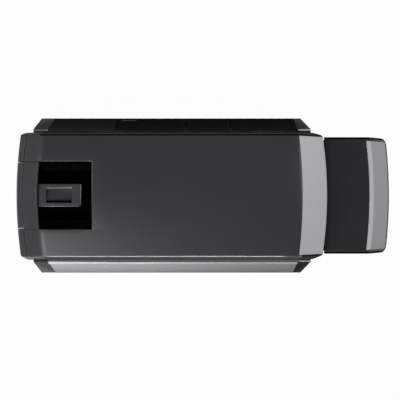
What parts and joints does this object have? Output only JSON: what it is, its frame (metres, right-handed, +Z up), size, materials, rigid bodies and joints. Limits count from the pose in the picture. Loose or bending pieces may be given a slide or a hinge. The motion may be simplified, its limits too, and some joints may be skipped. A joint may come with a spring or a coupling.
{
  "type": "desktop card printer",
  "caption": "Desktop plastic-card printer with a hinged dark cover, open input hopper with card weight and loading door, lidded output hopper and silver end bands.",
  "frame": {"origin": "middle of the footprint of the whole machine, on the surface that it stands on", "axes": "+X along the card path towards the output hopper, +Y towards the connectors at the rear, +Z up"},
  "size_m": [0.434, 0.192, 0.224],
  "materials": {
    "charcoal_plastic": "satin moulded",
    "silver_plastic": "satin silver paint",
    "black_plastic": "fine matt texture",
    "handle_plastic": "satin moulded",
    "acetal_plastic": "moulded natural",
    "zinc_steel": "zinc plated",
    "bronze": "sintered",
    "roller_rubber": "ground",
    "head_aluminium": "extruded",
    "head_ceramic": "glazed",
    "board_laminate": "solder mask",
    "component_black": "moulded"
  },
  "bodies": {
    "base": {"base_housing": "charcoal_plastic", "output_hopper_tub": "charcoal_plastic", "front_side_panel": "silver_plastic", "ledge_trims": "silver_plastic", "rear_side_panel": "black_plastic", "input_hopper_bin": "black_plastic", "switch_housing": "black_plastic", "fan_frame": "black_plastic", "card_sensor": "black_plastic", "power_inlet": "black_plastic", "card_track": "acetal_plastic", "bottom_plate": "zinc_steel", "chassis_plate_front": "zinc_steel", "chassis_plate_rear": "zinc_steel", "chassis_tie_bars": "zinc_steel", "cover_hinge_pins": "zinc_steel", "lid_hinge_pins": "zinc_steel", "bottom_screws": "zinc_steel", "hopper_screws": "zinc_steel", "drive_motor": "zinc_steel", "usb_port": "zinc_steel", "network_port": "zinc_steel", "roller_bearings": "bronze", "drive_belt": "roller_rubber", "rubber_feet": "roller_rubber", "main_board": "board_laminate", "board_components": "component_black"},
    "cover": {"top_cover": "charcoal_plastic", "cover_end_bezel": "silver_plastic", "cover_latch_hook": "black_plastic", "print_head_bracket": "head_aluminium", "print_head": "head_ceramic", "head_heat_sink": "head_aluminium", "bracket_screws": "zinc_steel", "door_hinge_pins": "zinc_steel"},
    "input_door": {"input_door": "charcoal_plastic"},
    "card_weight": {"card_weight": "black_plastic", "weight_handle": "handle_plastic"},
    "output_lid": {"output_lid": "charcoal_plastic", "output_lid_bezel": "silver_plastic"},
    "power_rocker": {"power_rocker": "black_plastic"},
    "platen": {"platen_roller": "roller_rubber", "platen_shaft": "zinc_steel", "platen_gear": "acetal_plastic"},
    "pick": {"pick_roller": "roller_rubber", "pick_shaft": "zinc_steel"},
    "infeed": {"infeed_roller": "roller_rubber", "infeed_shaft": "zinc_steel"},
    "outfeed": {"outfeed_roller": "roller_rubber", "outfeed_shaft": "zinc_steel"},
    "infeed_pinch": {"infeed_pinch_roller": "roller_rubber", "infeed_pinch_shaft": "zinc_steel"},
    "outfeed_pinch": {"outfeed_pinch_roller": "roller_rubber", "outfeed_pinch_shaft": "zinc_steel"},
    "cleaning": {"cleaning_roller": "roller_rubber", "cleaning_shaft": "zinc_steel"},
    "motor_rotor": {"motor_pinion": "zinc_steel"},
    "supply_spool": {"ribbon_supply_spool": "acetal_plastic"},
    "takeup_spool": {"ribbon_takeup_spool": "acetal_plastic"},
    "fan_rotor": {"fan_rotor": "black_plastic"}
  },
  "joints": [
    {"name": "cover_hinge", "type": "hinge", "parent": "base", "child": "cover", "pos_m": [0, 0.072, 0.124], "axis": [-1, 0, 0], "range_deg": [0, 78]},
    {"name": "input_door_hinge", "type": "hinge", "parent": "cover", "child": "input_door", "pos_m": [-0.2132, 0, 0.133], "axis": [0, -1, 0], "range_deg": [0, 80]},
    {"name": "card_weight_slide", "type": "slide", "parent": "base", "child": "card_weight", "axis": [0, 0, -1], "range_m": [0, 0.068]},
    {"name": "output_lid_hinge", "type": "hinge", "parent": "base", "child": "output_lid", "pos_m": [0.141, 0, 0.1435], "axis": [0, -1, 0], "range_deg": [0, 75]},
    {"name": "power_rocker_tilt", "type": "hinge", "parent": "base", "child": "power_rocker", "pos_m": [-0.095, 0.0858, 0.0255], "axis": [1, 0, 0], "range_deg": [-8, 8]},
    {"name": "platen_spin", "type": "hinge", "parent": "base", "child": "platen", "pos_m": [0, 0, 0.12], "axis": [0, 1, 0], "continuous": true},
    {"name": "pick_spin", "type": "hinge", "parent": "base", "child": "pick", "pos_m": [-0.15, 0, 0.12], "axis": [0, 1, 0], "continuous": true},
    {"name": "infeed_spin", "type": "hinge", "parent": "base", "child": "infeed", "pos_m": [-0.095, 0, 0.12], "axis": [0, 1, 0], "continuous": true},
    {"name": "outfeed_spin", "type": "hinge", "parent": "base", "child": "outfeed", "pos_m": [0.095, 0, 0.12], "axis": [0, 1, 0], "continuous": true},
    {"name": "infeed_pinch_spin", "type": "hinge", "parent": "base", "child": "infeed_pinch", "pos_m": [-0.095, 0, 0.1324], "axis": [0, 1, 0], "continuous": true},
    {"name": "outfeed_pinch_spin", "type": "hinge", "parent": "base", "child": "outfeed_pinch", "pos_m": [0.095, 0, 0.1324], "axis": [0, 1, 0], "continuous": true},
    {"name": "cleaning_spin", "type": "hinge", "parent": "base", "child": "cleaning", "pos_m": [-0.076, 0, 0.1334], "axis": [0, 1, 0], "continuous": true},
    {"name": "motor_spin", "type": "hinge", "parent": "base", "child": "motor_rotor", "pos_m": [0, 0, 0.08948], "axis": [0, 1, 0], "continuous": true},
    {"name": "supply_spool_spin", "type": "hinge", "parent": "base", "child": "supply_spool", "pos_m": [-0.052, 0, 0.16], "axis": [0, 1, 0], "continuous": true},
    {"name": "takeup_spool_spin", "type": "hinge", "parent": "base", "child": "takeup_spool", "pos_m": [0.052, 0, 0.16], "axis": [0, 1, 0], "continuous": true},
    {"name": "fan_spin", "type": "hinge", "parent": "base", "child": "fan_rotor", "pos_m": [0.074, 0, 0.016], "axis": [0, 0, 1], "continuous": true}
  ],
  "couplings": [
    {"joint": "pick_spin", "follows": "platen_spin", "ratio": 1},
    {"joint": "infeed_spin", "follows": "platen_spin", "ratio": 1},
    {"joint": "outfeed_spin", "follows": "platen_spin", "ratio": 1},
    {"joint": "infeed_pinch_spin", "follows": "platen_spin", "ratio": -1},
    {"joint": "outfeed_pinch_spin", "follows": "platen_spin", "ratio": -1},
    {"joint": "cleaning_spin", "follows": "platen_spin", "ratio": -0.85714},
    {"joint": "motor_spin", "follows": "platen_spin", "ratio": -3.75}
  ]
}
